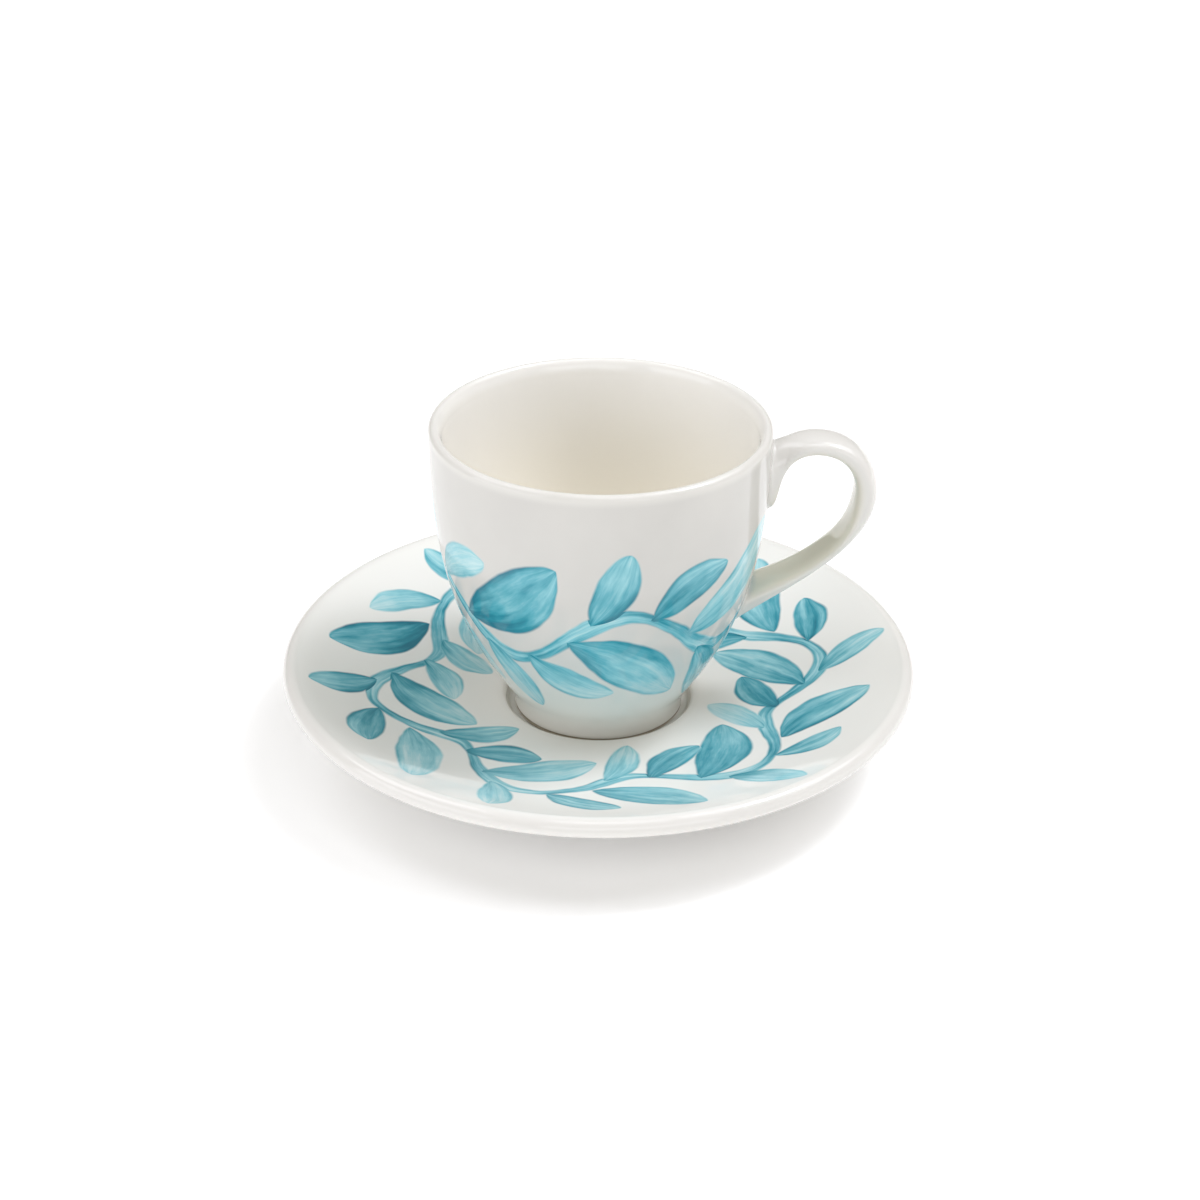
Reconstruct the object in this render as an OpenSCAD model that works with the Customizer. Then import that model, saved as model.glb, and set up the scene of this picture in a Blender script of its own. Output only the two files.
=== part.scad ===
// Espresso cup with saucer in glazed ceramic.
// The cup is a turned bowl on a foot ring, with a strap handle luted to its wall.
// It stands loose in the sunken well of the saucer.
// Millimetres, +Z up, origin on the table below the middle of the saucer, handle towards +X.

/* [Cup] */
// Height of the cup, from its standing face to the top of the lip
cup_h = 58.5; // [52:0.5:68]
// Outer diameter of the cup at the rim
rim_d = 62.8; // [57:0.2:70]
// Thickness of the bowl's wall
wall_t = 2.8; // [2.2:0.1:4]
// Thickness of the rounded lip
lip_t = 2.4; // [1.8:0.1:3.2]
// How far down the inside the lip eases into the wall
lip_ease_h = 3; // [1.6:0.1:5]
// Thickness of the floor at the middle of the cup
floor_t = 4; // [3:0.1:6]

/* [Cup foot] */
// Outer diameter of the foot ring
foot_d = 32.2; // [28:0.2:36]
// Height at which the foot meets the bowl
foot_h = 6; // [5:0.1:7.5]
// How far the cove above the foot leads out to the bowl
foot_step = 1.7; // [0.8:0.1:2.6]
// Width of the foot's standing face
foot_ring_w = 3; // [2:0.1:4]
// Depth of the hollow under the foot
foot_recess = 1.8; // [1:0.1:2.6]

/* [Handle] */
// Width of the strap, across the handle
strap_w = 8; // [6:0.2:10]
// Thickness of the strap
strap_t = 4; // [3.2:0.1:5]
// How far the strap stands out from the rim
handle_reach = 19.5; // [16:0.1:23]
// How far the crown of the strap lies below the lip
handle_drop = 1.8; // [1.4:0.1:5]
// Height of the lower end of the strap above the standing face
handle_low = 19.2; // [16:0.2:24]
// Height of the upper joint on the wall, with its tail
upper_joint_h = 12.6; // [10:0.2:16]
// Height of the lower joint on the wall
lower_joint_h = 7.2; // [5.6:0.2:9]
// Extra width of the strap where it spreads on the wall, on each side
joint_flare = 1; // [0.4:0.1:2]
// Thickness of the slip seam between the strap and the wall
slip_seam = 0.05; // [0.02:0.01:0.2]

/* [Saucer] */
// Outer diameter of the saucer
saucer_d = 120; // [110:1:136]
// Height of the saucer's rim above the table
saucer_h = 18; // [16:0.2:24]
// Thickness of the saucer's rounded lip
saucer_lip_t = 3.6; // [2.8:0.1:4.6]
// Thickness of the dish over the saucer's foot ring
dish_t = 4.2; // [3.4:0.1:5.4]
// Thickness of the saucer under the well
well_floor_t = 4.2; // [3:0.1:6]
// Depth of the well that the cup stands in
well_depth = 2.1; // [1.2:0.1:2.8]
// Gap between the cup's foot and the wall of the well
well_gap = 1.6; // [0.8:0.1:3]

/* [Saucer foot] */
// Outer diameter of the saucer's foot ring
saucer_foot_d = 68; // [60:0.5:78]
// Width of the saucer's standing face
saucer_foot_w = 3; // [2:0.1:4.5]
// Depth of the hollow inside the saucer's foot ring
saucer_recess = 2.6; // [1.6:0.1:3.6]

/* [Hidden] */
$fn = 96;

// Colour of the glazed ware
GLAZE = [0.95, 0.94, 0.92];

// Number of steps in a long curve, in a short one and along each stretch of the strap
LONG_STEPS = 28;
SHORT_STEPS = 8;
STRAP_STEPS = 13;
TAIL_STEPS = 5;
STRAP_SIDES = 28;

// The lip is rounded tightly on its outside
lip_out_share = 0.45;
lip_out_r = lip_out_share * lip_t;

// The bowl's outside is one curve that rises from the foot and ends upright below the lip
cup_r = rim_d / 2;
foot_r = foot_d / 2;
bowl_h = cup_h - foot_h;
bowl_start = [foot_r + foot_step, foot_h];
belly_out_share = 0.67;
belly_rise_share = 0.257;
straight_share = 0.47;
bowl_curve = [
    bowl_start,
    bowl_start + [belly_out_share * (cup_r - bowl_start[0]), belly_rise_share * bowl_h],
    [cup_r, foot_h + straight_share * bowl_h],
    [cup_r, cup_h - lip_out_r]
];

// Bevel of a foot ring, the cove above the cup's foot and the rounding of the cup's floor
bevel_share = 0.2;
foot_upright_share = 0.5;
foot_cove_share = 0.75;
floor_join_share = 0.24;
floor_pull_share = 0.45;
floor_flat_share = 0.5;

// The strap's side view: crown, outermost point and the two joints
crown_share = 0.41;
crown_rise_share = 0.15;
crown_thin_share = 0.82;
belly_drop_share = 0.294;
round_share = 0.58;
outer_fall_share = 0.37;
outer_slope = 37.5;
outer_lead_share = 0.53;
inner_fall_share = 0.6;
inner_slope = 18;
inner_lead_share = 0.53;
neck_run_share = 0.39;
neck_rise_share = 0.6;
neck_level_share = 0.5;
tail_out_share = 0.32;
tail_rise_share = 0.5;
tail_round_share = 0.65;
rise_lean_share = 0.07;
rise_up_share = 0.51;
rise_level_share = 0.71;
crown_z = cup_h - handle_drop;
crown_x = cup_r + crown_share * handle_reach;
belly_x = cup_r + handle_reach;
belly_z = crown_z - belly_drop_share * (crown_z - handle_low);
upper_z = crown_z - crown_rise_share * upper_joint_h;
tail_z = upper_z - upper_joint_h;

// The strap's section is rounded outside, flatter inside and oval where it meets the wall.
// Its ends run some way into the wall before they are trimmed.
outer_round_share = 0.8;
inner_round_share = 0.5;
joint_round_share = 0.9;
flare_reach_share = 0.2;
root_share = 0.7;
root_depth = root_share * wall_t;

// The saucer's well takes the cup's foot
well_r = foot_r + well_gap;
well_z = saucer_recess + well_floor_t;
well_edge_z = well_z + well_depth;
well_round_share = 0.3;
well_round = well_round_share * well_depth;

// The saucer's dish rises to the lip at one slope and leaves the well at another
saucer_r = saucer_d / 2;
saucer_lip_r = saucer_lip_t / 2;
saucer_foot_r = saucer_foot_d / 2;
lip_centre = [saucer_r - saucer_lip_r, saucer_h - saucer_lip_r];
rim_slope = 24;
well_slope = 2;
dish_inner_share = 0.42;
dish_outer_share = 0.36;
under_inner_share = 0.3;
under_outer_share = 0.4;
under_slope = 5;

// Point on a cubic curve with four control points, and the direction of the curve there
function point_on(c, t) =
    pow(1 - t, 3) * c[0] + 3 * t * pow(1 - t, 2) * c[1] + 3 * t * t * (1 - t) * c[2] + pow(t, 3) * c[3];
function heading(c, t) =
    unit(pow(1 - t, 2) * (c[1] - c[0]) + 2 * t * (1 - t) * (c[2] - c[1]) + t * t * (c[3] - c[2]));
function unit(v) = v / norm(v);
function left_of(v) = [-v[1], v[0]];
function toward(angle) = [cos(angle), sin(angle)];

// Points along a cubic curve and along an arc
function curve(c, steps) = [for (i = [0 : steps]) point_on(c, i / steps)];
function arc(centre, r, from, to, steps) =
    [for (i = [0 : steps]) centre + r * toward(from + (to - from) * i / steps)];
function past_first(points) = [for (i = [1 : len(points) - 1]) points[i]];

// Outside of the cup, from the standing face up to the lip
function foot_side() = [
    [foot_r, bevel_share * foot_ring_w],
    [foot_r, foot_upright_share * foot_h],
    bowl_start - foot_cove_share * foot_step * [1, 1],
    bowl_start
];
function outside() = concat(
    [[foot_r - bevel_share * foot_ring_w, 0]],
    curve(foot_side(), SHORT_STEPS),
    past_first(curve(bowl_curve, LONG_STEPS))
);
function wall_r(z) = lookup(z, [for (p = outside()) [p[1], p[0]]]);

// Inside of the cup: the bowl's curve set in by the wall, then a rounded floor
function inset(t) =
    point_on(bowl_curve, t) + (wall_t + (lip_t - wall_t) * pow(t, 4)) * left_of(heading(bowl_curve, t));
function floor_curve() =
    let (join = inset(floor_join_share), floor_z = foot_recess + floor_t)
    [
        join,
        join - floor_pull_share * join[0] * heading(bowl_curve, floor_join_share),
        [floor_flat_share * join[0], floor_z],
        [0, floor_z]
    ];
function inside() = concat(
    [for (i = [1 : LONG_STEPS])
        let (p = inset(1 - (1 - floor_join_share) * i / LONG_STEPS))
        if (p[1] < cup_h - lip_ease_h) p],
    past_first(curve(floor_curve(), LONG_STEPS))
);

// Upper edge of the cup, from the outside over the top and down into the inside
function lip() = concat(
    past_first(arc([cup_r - lip_out_r, cup_h - lip_out_r], lip_out_r, 0, 90, SHORT_STEPS)),
    [for (i = [1 : SHORT_STEPS])
        let (a = 90 * i / SHORT_STEPS)
        [cup_r - lip_out_r - (lip_t - lip_out_r) * sin(a), cup_h - lip_ease_h * (1 - cos(a))]]
);

module cup_profile() {
    polygon(concat(
        outside(),
        lip(),
        inside(),
        [[0, foot_recess]],
        arc([foot_r - foot_ring_w - foot_recess, 0], foot_recess, 90, 0, SHORT_STEPS)
    ));
}

module cup_body() {
    color(GLAZE)
        translate([0, 0, well_z])
        rotate_extrude()
        cup_profile();
}

// One edge of the strap in side view: from its first stretch over the crown and round to the lower joint
function strap_edge(first, belly, end, fall_share, slope, lead_share) =
    let (crown = first[len(first) - 1], out = belly[0] - crown[0], down = crown[1] - belly[1])
    concat(
        [first[0] - [root_depth, 0]],
        first,
        past_first(curve(
            [crown, crown + [round_share * out, 0], belly + [0, round_share * down], belly], STRAP_STEPS)),
        past_first(curve(
            [belly, belly - [0, fall_share * (belly[1] - end[1])],
             end + lead_share * (belly[0] - end[0]) * toward(slope), end], STRAP_STEPS)),
        [end - [root_depth, 0]]
    );

// Outer edge, which leaves the wall in a shallow neck
function strap_outer() =
    let (start = [wall_r(upper_z), upper_z], crown = [crown_x, crown_z], rise = crown - start)
    strap_edge(
        curve([start, start + [neck_run_share * rise[0], neck_rise_share * rise[1]],
               crown - [neck_level_share * rise[0], 0], crown], STRAP_STEPS),
        [belly_x, belly_z], [wall_r(handle_low), handle_low],
        outer_fall_share, outer_slope, outer_lead_share);

// Inner edge, which leaves the wall in a blunt tail and rises along it to the underside of the crown
function strap_tail(start, crown) =
    let (
        out = tail_out_share * strap_t,
        up = tail_rise_share * strap_t,
        heel = start + [out, up],
        rise = crown - heel
    )
    concat(
        curve(
            [start, start + [tail_round_share * out, 0], heel - [0, tail_round_share * up], heel],
            TAIL_STEPS),
        past_first(curve(
            [heel, heel + [rise_lean_share * rise[0], rise_up_share * rise[1]],
             crown - [rise_level_share * rise[0], 0], crown], STRAP_STEPS - TAIL_STEPS))
    );
function strap_inner() =
    let (end_z = handle_low + lower_joint_h)
    strap_edge(
        strap_tail([wall_r(tail_z), tail_z], [crown_x, crown_z - crown_thin_share * strap_t]),
        [belly_x - strap_t, belly_z], [wall_r(end_z), end_z],
        inner_fall_share, inner_slope, inner_lead_share);

// How far the strap has spread on the wall at a share of its length
function spread(share) = pow(max(0, 1 - min(share, 1 - share) / flare_reach_share), 2);

// One ring of the strap between its outer and inner edge
function rounded(c, power) = sign(c) * pow(abs(c), power);
function strap_ring(outer, inner, spread) =
    let (
        middle = (outer + inner) / 2,
        half = (outer - inner) / 2,
        half_w = strap_w / 2 + joint_flare * spread
    )
    [for (j = [0 : STRAP_SIDES - 1])
        let (
            a = 360 * j / STRAP_SIDES,
            bar = cos(a) > 0 ? outer_round_share : inner_round_share,
            power = bar + (joint_round_share - bar) * spread,
            p = middle + rounded(cos(a), power) * half
        )
        [p[0], rounded(sin(a), power) * half_w, p[1]]];

module strap() {
    outer = strap_outer();
    inner = strap_inner();
    last_ring = len(outer) - 1;
    last = last_ring * STRAP_SIDES;
    points = [for (i = [0 : last_ring]) each strap_ring(outer[i], inner[i], spread(i / last_ring))];
    sides = [for (i = [0 : last_ring - 1], j = [0 : STRAP_SIDES - 1])
        let (a = i * STRAP_SIDES + j, b = i * STRAP_SIDES + (j + 1) % STRAP_SIDES)
        each [[a, b, b + STRAP_SIDES], [a, b + STRAP_SIDES, a + STRAP_SIDES]]];
    caps = [for (j = [1 : STRAP_SIDES - 2])
        each [[0, j + 1, j], [last, last + j, last + j + 1]]];
    polyhedron(points, concat(sides, caps));
}

// The cup's outside as a filled form with the slip seam on it, which the strap's ends are trimmed to
module cup_envelope() {
    rotate_extrude()
        polygon(concat([[0, 0]], [for (p = outside()) p + [slip_seam, 0]], [[0, cup_h - lip_out_r]]));
}

module cup_handle() {
    color(GLAZE)
        translate([0, 0, well_z])
        difference() {
            strap();
            cup_envelope();
        }
}

// Upper face of the saucer, from the well's edge out to the lip
function dish_curve() =
    let (
        from = [well_r + well_round, well_edge_z],
        to = lip_centre + saucer_lip_r * left_of(toward(rim_slope)),
        run = to[0] - from[0]
    )
    [
        from,
        from + dish_inner_share * run * toward(well_slope),
        to - dish_outer_share * run * toward(rim_slope),
        to
    ];

function dish_z(r) = lookup(r, curve(dish_curve(), LONG_STEPS));

// Lower face of the saucer, from the lip in to the foot ring
function under_curve() =
    let (
        from = lip_centre - saucer_lip_r * left_of(toward(rim_slope)),
        to = [saucer_foot_r, dish_z(saucer_foot_r) - dish_t],
        run = from[0] - to[0]
    )
    [
        from,
        from - under_outer_share * run * toward(rim_slope),
        to + under_inner_share * run * toward(under_slope),
        to
    ];

module saucer_profile() {
    bevel = bevel_share * saucer_foot_w;
    polygon(concat(
        [[0, well_z]],
        arc([well_r - well_round, well_z + well_round], well_round, -90, 0, SHORT_STEPS),
        arc([well_r + well_round, well_edge_z - well_round], well_round, 180, 90, SHORT_STEPS),
        past_first(curve(dish_curve(), LONG_STEPS)),
        past_first(arc(lip_centre, saucer_lip_r, 90 + rim_slope, rim_slope - 90, 2 * SHORT_STEPS)),
        past_first(curve(under_curve(), LONG_STEPS)),
        [[saucer_foot_r, bevel], [saucer_foot_r - bevel, 0]],
        arc([saucer_foot_r - saucer_foot_w - saucer_recess, 0], saucer_recess, 0, 90, SHORT_STEPS),
        [[0, saucer_recess]]
    ));
}

module saucer() {
    color(GLAZE)
        rotate_extrude()
        saucer_profile();
}

cup_body();
cup_handle();
saucer();
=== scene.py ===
import cmath
import math

import bpy
from mathutils import Matrix, Vector


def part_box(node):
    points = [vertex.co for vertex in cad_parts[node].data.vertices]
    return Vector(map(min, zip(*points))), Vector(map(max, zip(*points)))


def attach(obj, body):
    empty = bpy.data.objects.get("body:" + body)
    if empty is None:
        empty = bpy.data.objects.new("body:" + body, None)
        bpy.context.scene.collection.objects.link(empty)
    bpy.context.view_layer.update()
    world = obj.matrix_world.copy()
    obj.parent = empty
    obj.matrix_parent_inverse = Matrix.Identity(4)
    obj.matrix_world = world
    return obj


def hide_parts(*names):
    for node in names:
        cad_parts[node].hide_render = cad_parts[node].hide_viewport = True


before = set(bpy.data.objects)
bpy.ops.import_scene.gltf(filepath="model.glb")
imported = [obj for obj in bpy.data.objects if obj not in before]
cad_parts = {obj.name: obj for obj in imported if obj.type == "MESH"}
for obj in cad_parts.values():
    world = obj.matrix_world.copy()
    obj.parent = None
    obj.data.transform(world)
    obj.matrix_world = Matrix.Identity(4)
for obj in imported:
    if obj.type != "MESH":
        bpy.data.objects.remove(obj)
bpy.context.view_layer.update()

# Millimetres in a profile or a strap, metres in a mesh
MM = 0.001
cup_lo, cup_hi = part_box("cup_body")
saucer_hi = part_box("saucer")[1]
strap_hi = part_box("cup_handle")[1]

# Driving sizes, read from the frame
WELL_Z = cup_lo.z / MM
CUP_H = (cup_hi.z - cup_lo.z) / MM
CUP_R = cup_hi.x / MM
SAUCER_R = min(saucer_hi.x, saucer_hi.y) / MM
SAUCER_H = saucer_hi.z / MM
HANDLE_REACH = strap_hi.x / MM - CUP_R
HANDLE_DROP = (cup_hi.z - strap_hi.z) / MM

# The cup's other sizes, as in its solid. Shares place the handles of its curves.
WALL_T = 2.8
WALL_THIN_POWER = 4
LIP_T = 2.4
LIP_EASE_H = 3.0
LIP_OUT_SHARE = 0.45
LIP_OUT_R = LIP_OUT_SHARE * LIP_T
FLOOR_T = 4.0
FLOOR_JOIN = 0.24
FLOOR_STEEP_SHARE = 0.45
FLOOR_FLAT_SHARE = 0.5
BOWL_OUT_SHARE = 0.67
BOWL_UP_SHARE = 0.257
BOWL_TURN_SHARE = 0.47
FOOT_R = 16.1
FOOT_H = 6.0
FOOT_STEP = 1.7
FOOT_RISE_SHARE = 0.5
FOOT_RING_W = 3.0
FOOT_RECESS = 1.8

# The strap's
STRAP_W = 8.0
STRAP_T = 4.0
HANDLE_LOW = 19.2
UPPER_JOINT_H = 12.6
LOWER_JOINT_H = 7.2
JOINT_FLARE = 1.0
FLARE_REACH_SHARE = 0.2
ROOT_DEPTH = 1.96
CROWN_OUT_SHARE = 0.41
BELLY_DOWN_SHARE = 0.294
UPPER_JOINT_SHARE = 0.15
TURN_SHARE = 0.58
# Its outer edge: the neck's handle across and up, the crown's, then fall, slope in degrees and lead of the lower end
NECK_SHARES = (0.39, 0.6)
CROWN_SHARE = 0.5
OUTER_END = (0.37, 37.5, 0.53)
# Its inner edge: the heel across and up and its turn, the arch under the crown, then the lower end as above
HEEL_SHARES = (0.32, 0.5)
HEEL_TURN_SHARE = 0.65
UNDER_CROWN_SHARE = 0.82
ARCH_SHARES = (0.07, 0.51)
ARCH_TOP_SHARE = 0.71
INNER_END = (0.6, 18, 0.53)
# Powers that round its section: 1 makes an ellipse, less a squarer bar
OUTER_ROUND = 0.8
JOINT_ROUND = 0.9

# The saucer's
SAUCER_LIP_R = 1.8
DISH_T = 4.2
DISH_SHARES = (0.42, 0.36)
BELOW_SHARES = (0.4, 0.3)
WELL_DEPTH = 2.1
WELL_GAP = 1.6
SAUCER_FOOT_R = 34.0
SAUCER_FOOT_W = 3.0
SAUCER_RECESS = 2.6
RIM_SLOPE = 24.0
WELL_SLOPE = 2.0
UNDER_SLOPE = 5.0

# Roundings that only the fine meshes have
FOOT_EDGE_R = 0.7
FOOT_COVE = 1.06
RING_EDGE_R = 0.4
RING_COVE_R = 1.2
WELL_ROUND_SHARE = 0.48
INNER_ROUND = 0.68
JOINT_FILLET = 0.6
JOINT_SINK = 0.03
JOINT_SINK_POWER = 4
# How much the strap fills out on each side and within towards its lower joint, and along what share of it
LOWER_BROAD = 0.7
LOWER_THICK = 0.4
LOWER_FROM_SHARE, LOWER_FULL_SHARE = 0.45, 0.8

# Fineness of the meshes
SEGMENTS = 256
LONG_STEPS = 72
SHORT_STEPS = 14
STRAP_STEPS = 36
STRAP_TAIL_STEPS = 14
STRAP_ROOT_STEPS = 6
STRAP_SIDES = 56
STRAP_RINGS = 130
RING_CROWDING = 0.75
FLAT_SHARES = (0, 0.05, 0.35, 0.65, 0.95, 1)
HALVINGS = 40
SLOPE_STEP = 0.1
SAME_POINT = 1e-6

# Marks that the meshes carry: how far off a bend in a profile counts for the pooled glaze and painted shade,
# how steeply the strap's inner face, which takes painted shade, sets in round its section, and how fast at its lower
# and upper joint
POOL_REACH = 0.9
POOL_CUT = 3
INNER_FACE = 1.6
INNER_FACE_ENDS = (10.0, 6.0)


# Points in a side view are complex numbers: distance from the axis, and height times i.
def toward(degrees):
    return cmath.rect(1, math.radians(degrees))


def point_on(c, t):
    s = 1 - t
    return s**3 * c[0] + 3 * t * s**2 * c[1] + 3 * t * t * s * c[2] + t**3 * c[3]


def heading(c, t):
    s = 1 - t
    way = s * s * (c[1] - c[0]) + 2 * t * s * (c[2] - c[1]) + t * t * (c[3] - c[2])
    return way / abs(way)


def curve(c, steps):
    return [point_on(c, i / steps) for i in range(steps + 1)]


def arc(centre, r, start, end, steps):
    return [centre + r * toward(start + (end - start) * i / steps) for i in range(steps + 1)]


def flat(a, b):
    """A straight run with points close to its ends, which keep its shading flat."""
    return [a + (b - a) * share for share in FLAT_SHARES]


def corner(a, b, c, r):
    """An arc of radius r that rounds the corner b between a and c."""
    to_a, to_c = (a - b) / abs(a - b), (c - b) / abs(c - b)
    half = abs(cmath.phase(to_c / to_a)) / 2
    centre = b + (to_a + to_c) / abs(to_a + to_c) * r / math.sin(half)
    first = b + to_a * r / math.tan(half) - centre
    last = b + to_c * r / math.tan(half) - centre
    sweep = cmath.phase(last / first)
    return [centre + first * cmath.rect(1, sweep * i / SHORT_STEPS) for i in range(SHORT_STEPS + 1)]


def joined(*runs):
    """One line through several runs of points, without repeats."""
    points = []
    for run in runs:
        for p in run:
            if not points or abs(p - points[-1]) > SAME_POINT:
                points.append(p)
    return points


def eased(t):
    """A smooth rise from 0 to 1, level before and after."""
    t = min(1, max(0, t))
    return t * t * (3 - 2 * t)


# The bowl's outside is one curve from the foot to the lip.
bowl_start = complex(FOOT_R + FOOT_STEP, FOOT_H)
bowl_h = CUP_H - FOOT_H
bowl_curve = (
    bowl_start,
    bowl_start + complex(BOWL_OUT_SHARE * (CUP_R - bowl_start.real), BOWL_UP_SHARE * bowl_h),
    complex(CUP_R, FOOT_H + BOWL_TURN_SHARE * bowl_h),
    complex(CUP_R, CUP_H - LIP_OUT_R),
)
foot_curve = (
    complex(FOOT_R, FOOT_EDGE_R),
    complex(FOOT_R, FOOT_RISE_SHARE * FOOT_H),
    bowl_start - FOOT_COVE * FOOT_STEP * heading(bowl_curve, 0),
    bowl_start,
)


def inset(t):
    """A point of the cup's inside, square to the outside at t."""
    thickness = WALL_T + (LIP_T - WALL_T) * t**WALL_THIN_POWER
    return point_on(bowl_curve, t) + thickness * 1j * heading(bowl_curve, t)


def cup_profile():
    floor_z = FOOT_RECESS + FLOOR_T
    join = inset(FLOOR_JOIN)
    floor_curve = (
        join,
        join - FLOOR_STEEP_SHARE * join.real * heading(bowl_curve, FLOOR_JOIN),
        complex(FLOOR_FLAT_SHARE * join.real, floor_z),
        complex(0, floor_z),
    )
    ring_r = FOOT_R - FOOT_RING_W
    hollow = arc(ring_r - FOOT_RECESS, FOOT_RECESS, 90, 0, SHORT_STEPS)
    inner_edge = corner(hollow[-3], complex(ring_r, 0), complex(FOOT_R, 0), RING_EDGE_R)
    outer_edge = corner(complex(ring_r, 0), complex(FOOT_R, 0), foot_curve[1], FOOT_EDGE_R)
    lip = arc(complex(CUP_R - LIP_OUT_R, CUP_H - LIP_OUT_R), LIP_OUT_R, 0, 90, SHORT_STEPS)
    lip_top = lip[-1]
    ease_steps = 2 * SHORT_STEPS
    for i in range(1, ease_steps + 1):
        turn = toward(90 * i / ease_steps)
        lip.append(lip_top - complex((LIP_T - LIP_OUT_R) * turn.imag, LIP_EASE_H * (1 - turn.real)))
    walls = [inset(1 - (1 - FLOOR_JOIN) * i / LONG_STEPS) for i in range(1, LONG_STEPS + 1)]
    return joined(
        flat(complex(0, FOOT_RECESS), hollow[0]),
        [p for p in hollow if p.imag > inner_edge[0].imag],
        inner_edge,
        flat(inner_edge[-1], outer_edge[0]),
        outer_edge,
        curve(foot_curve, 2 * SHORT_STEPS),
        curve(bowl_curve, LONG_STEPS),
        lip,
        [p for p in walls if p.imag < lip[-1].imag],
        curve(floor_curve, 2 * SHORT_STEPS),
    )


def wall_r(z):
    """Radius of the cup's outside at a height, by halving the bowl's curve."""
    low, high = 0.0, 1.0
    for _ in range(HALVINGS):
        t = (low + high) / 2
        if point_on(bowl_curve, t).imag < z:
            low = t
        else:
            high = t
    return point_on(bowl_curve, low).real


def wall_slope(z):
    """How fast the cup's outside widens with height."""
    return (wall_r(z + SLOPE_STEP) - wall_r(z - SLOPE_STEP)) / (2 * SLOPE_STEP)


def saucer_profile():
    lip = complex(SAUCER_R - SAUCER_LIP_R, SAUCER_H - SAUCER_LIP_R)
    edge_z = WELL_Z + WELL_DEPTH
    well_r = FOOT_R + WELL_GAP
    soft = WELL_ROUND_SHARE * WELL_DEPTH
    start = complex(well_r + soft, edge_z)
    rim = lip + SAUCER_LIP_R * 1j * toward(RIM_SLOPE)
    run = rim.real - start.real
    near, far = DISH_SHARES
    dish = curve(
        (start, start + near * run * toward(WELL_SLOPE), rim - far * run * toward(RIM_SLOPE), rim),
        LONG_STEPS,
    )
    over_foot = min(dish, key=lambda p: abs(p.real - SAUCER_FOOT_R))
    top = complex(SAUCER_FOOT_R, over_foot.imag - DISH_T)
    under = lip - SAUCER_LIP_R * 1j * toward(RIM_SLOPE)
    run = under.real - top.real
    far, near = BELOW_SHARES
    below = curve(
        (under, under - far * run * toward(RIM_SLOPE), top + near * run * toward(UNDER_SLOPE), top),
        LONG_STEPS,
    )
    outer, inner = complex(SAUCER_FOOT_R, 0), complex(SAUCER_FOOT_R - SAUCER_FOOT_W, 0)
    hollow = arc(inner - SAUCER_RECESS, SAUCER_RECESS, 0, 90, SHORT_STEPS)
    cove = corner(below[-6], top, outer, RING_COVE_R)
    outer_edge = corner(top, outer, inner, FOOT_EDGE_R)
    inner_edge = corner(outer, inner, hollow[2], RING_EDGE_R)
    from_above = joined(
        flat(complex(0, WELL_Z), complex(well_r - soft, WELL_Z)),
        arc(complex(well_r - soft, WELL_Z + soft), soft, -90, 0, SHORT_STEPS),
        arc(complex(well_r + soft, edge_z - soft), soft, 180, 90, SHORT_STEPS),
        dish,
        arc(lip, SAUCER_LIP_R, 90 + RIM_SLOPE, RIM_SLOPE - 90, 3 * SHORT_STEPS),
        [p for p in below if p.real > cove[0].real],
        cove,
        flat(cove[-1], outer_edge[0]),
        outer_edge,
        flat(outer_edge[-1], inner_edge[0]),
        inner_edge,
        [p for p in hollow if p.imag > inner_edge[-1].imag],
        flat(hollow[-1], complex(0, SAUCER_RECESS)),
    )
    return from_above[::-1]


def pooling(profile):
    """How the glaze gathers along a profile: above 0 in a hollow, where shade is also painted, below 0 on an edge.
    """
    bend = [0.0] * len(profile)
    for i in range(1, len(profile) - 1):
        before, after = profile[i] - profile[i - 1], profile[i + 1] - profile[i]
        bend[i] = -2 * cmath.phase(after / before) / (abs(before) + abs(after))
    soft = []
    for p in profile:
        near = []
        for q, b in zip(profile, bend):
            off = abs(q - p) / POOL_REACH
            if off < POOL_CUT:
                near.append((math.exp(-off * off), b))
        soft.append(sum(weight * b for weight, b in near) / sum(weight for weight, _ in near))
    return soft


def piece(name, verts, faces, marks, body, node):
    """A smooth mesh in the row frame that stands for a CAD node and rides on its body."""
    mesh = bpy.data.meshes.new(name)
    mesh.from_pydata(verts, [], faces)
    mesh.polygons.foreach_set("use_smooth", [True] * len(faces))
    for mark, values in marks.items():
        mesh.attributes.new(mark, "FLOAT", "POINT").data.foreach_set("value", values)
    mesh.update()
    made = bpy.data.objects.new(name, mesh)
    bpy.context.scene.collection.objects.link(made)
    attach(made, body)
    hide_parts(node)
    return made


def turned(name, profile, base_z, body, node):
    """A piece turned about Z from a profile that runs from the axis below, over the lip, to the axis above."""
    verts, faces = [], []
    marks = {"pool": [], "within": []}
    gather = pooling(profile)
    last = len(profile) - 1
    top = max(range(last), key=lambda i: profile[i].imag)
    for i, p in enumerate(profile):
        for j in range(SEGMENTS if 0 < i < last else 1):
            a = 2 * math.pi * j / SEGMENTS
            verts.append((p.real * math.cos(a) * MM, p.real * math.sin(a) * MM, (p.imag + base_z) * MM))
            marks["pool"].append(gather[i])
            marks["within"].append(min(1.0, max(0.0, 0.5 + (i - top) / SHORT_STEPS)))
    end = len(verts) - 1
    for j in range(SEGMENTS):
        k = (j + 1) % SEGMENTS
        faces.append((0, 1 + k, 1 + j))
        for i in range(last - 2):
            low, high = 1 + i * SEGMENTS, 1 + (i + 1) * SEGMENTS
            faces.append((low + j, low + k, high + k, high + j))
        faces.append((end - SEGMENTS + j, end - SEGMENTS + k, end))
    return piece(name, verts, faces, marks, body, node)


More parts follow.
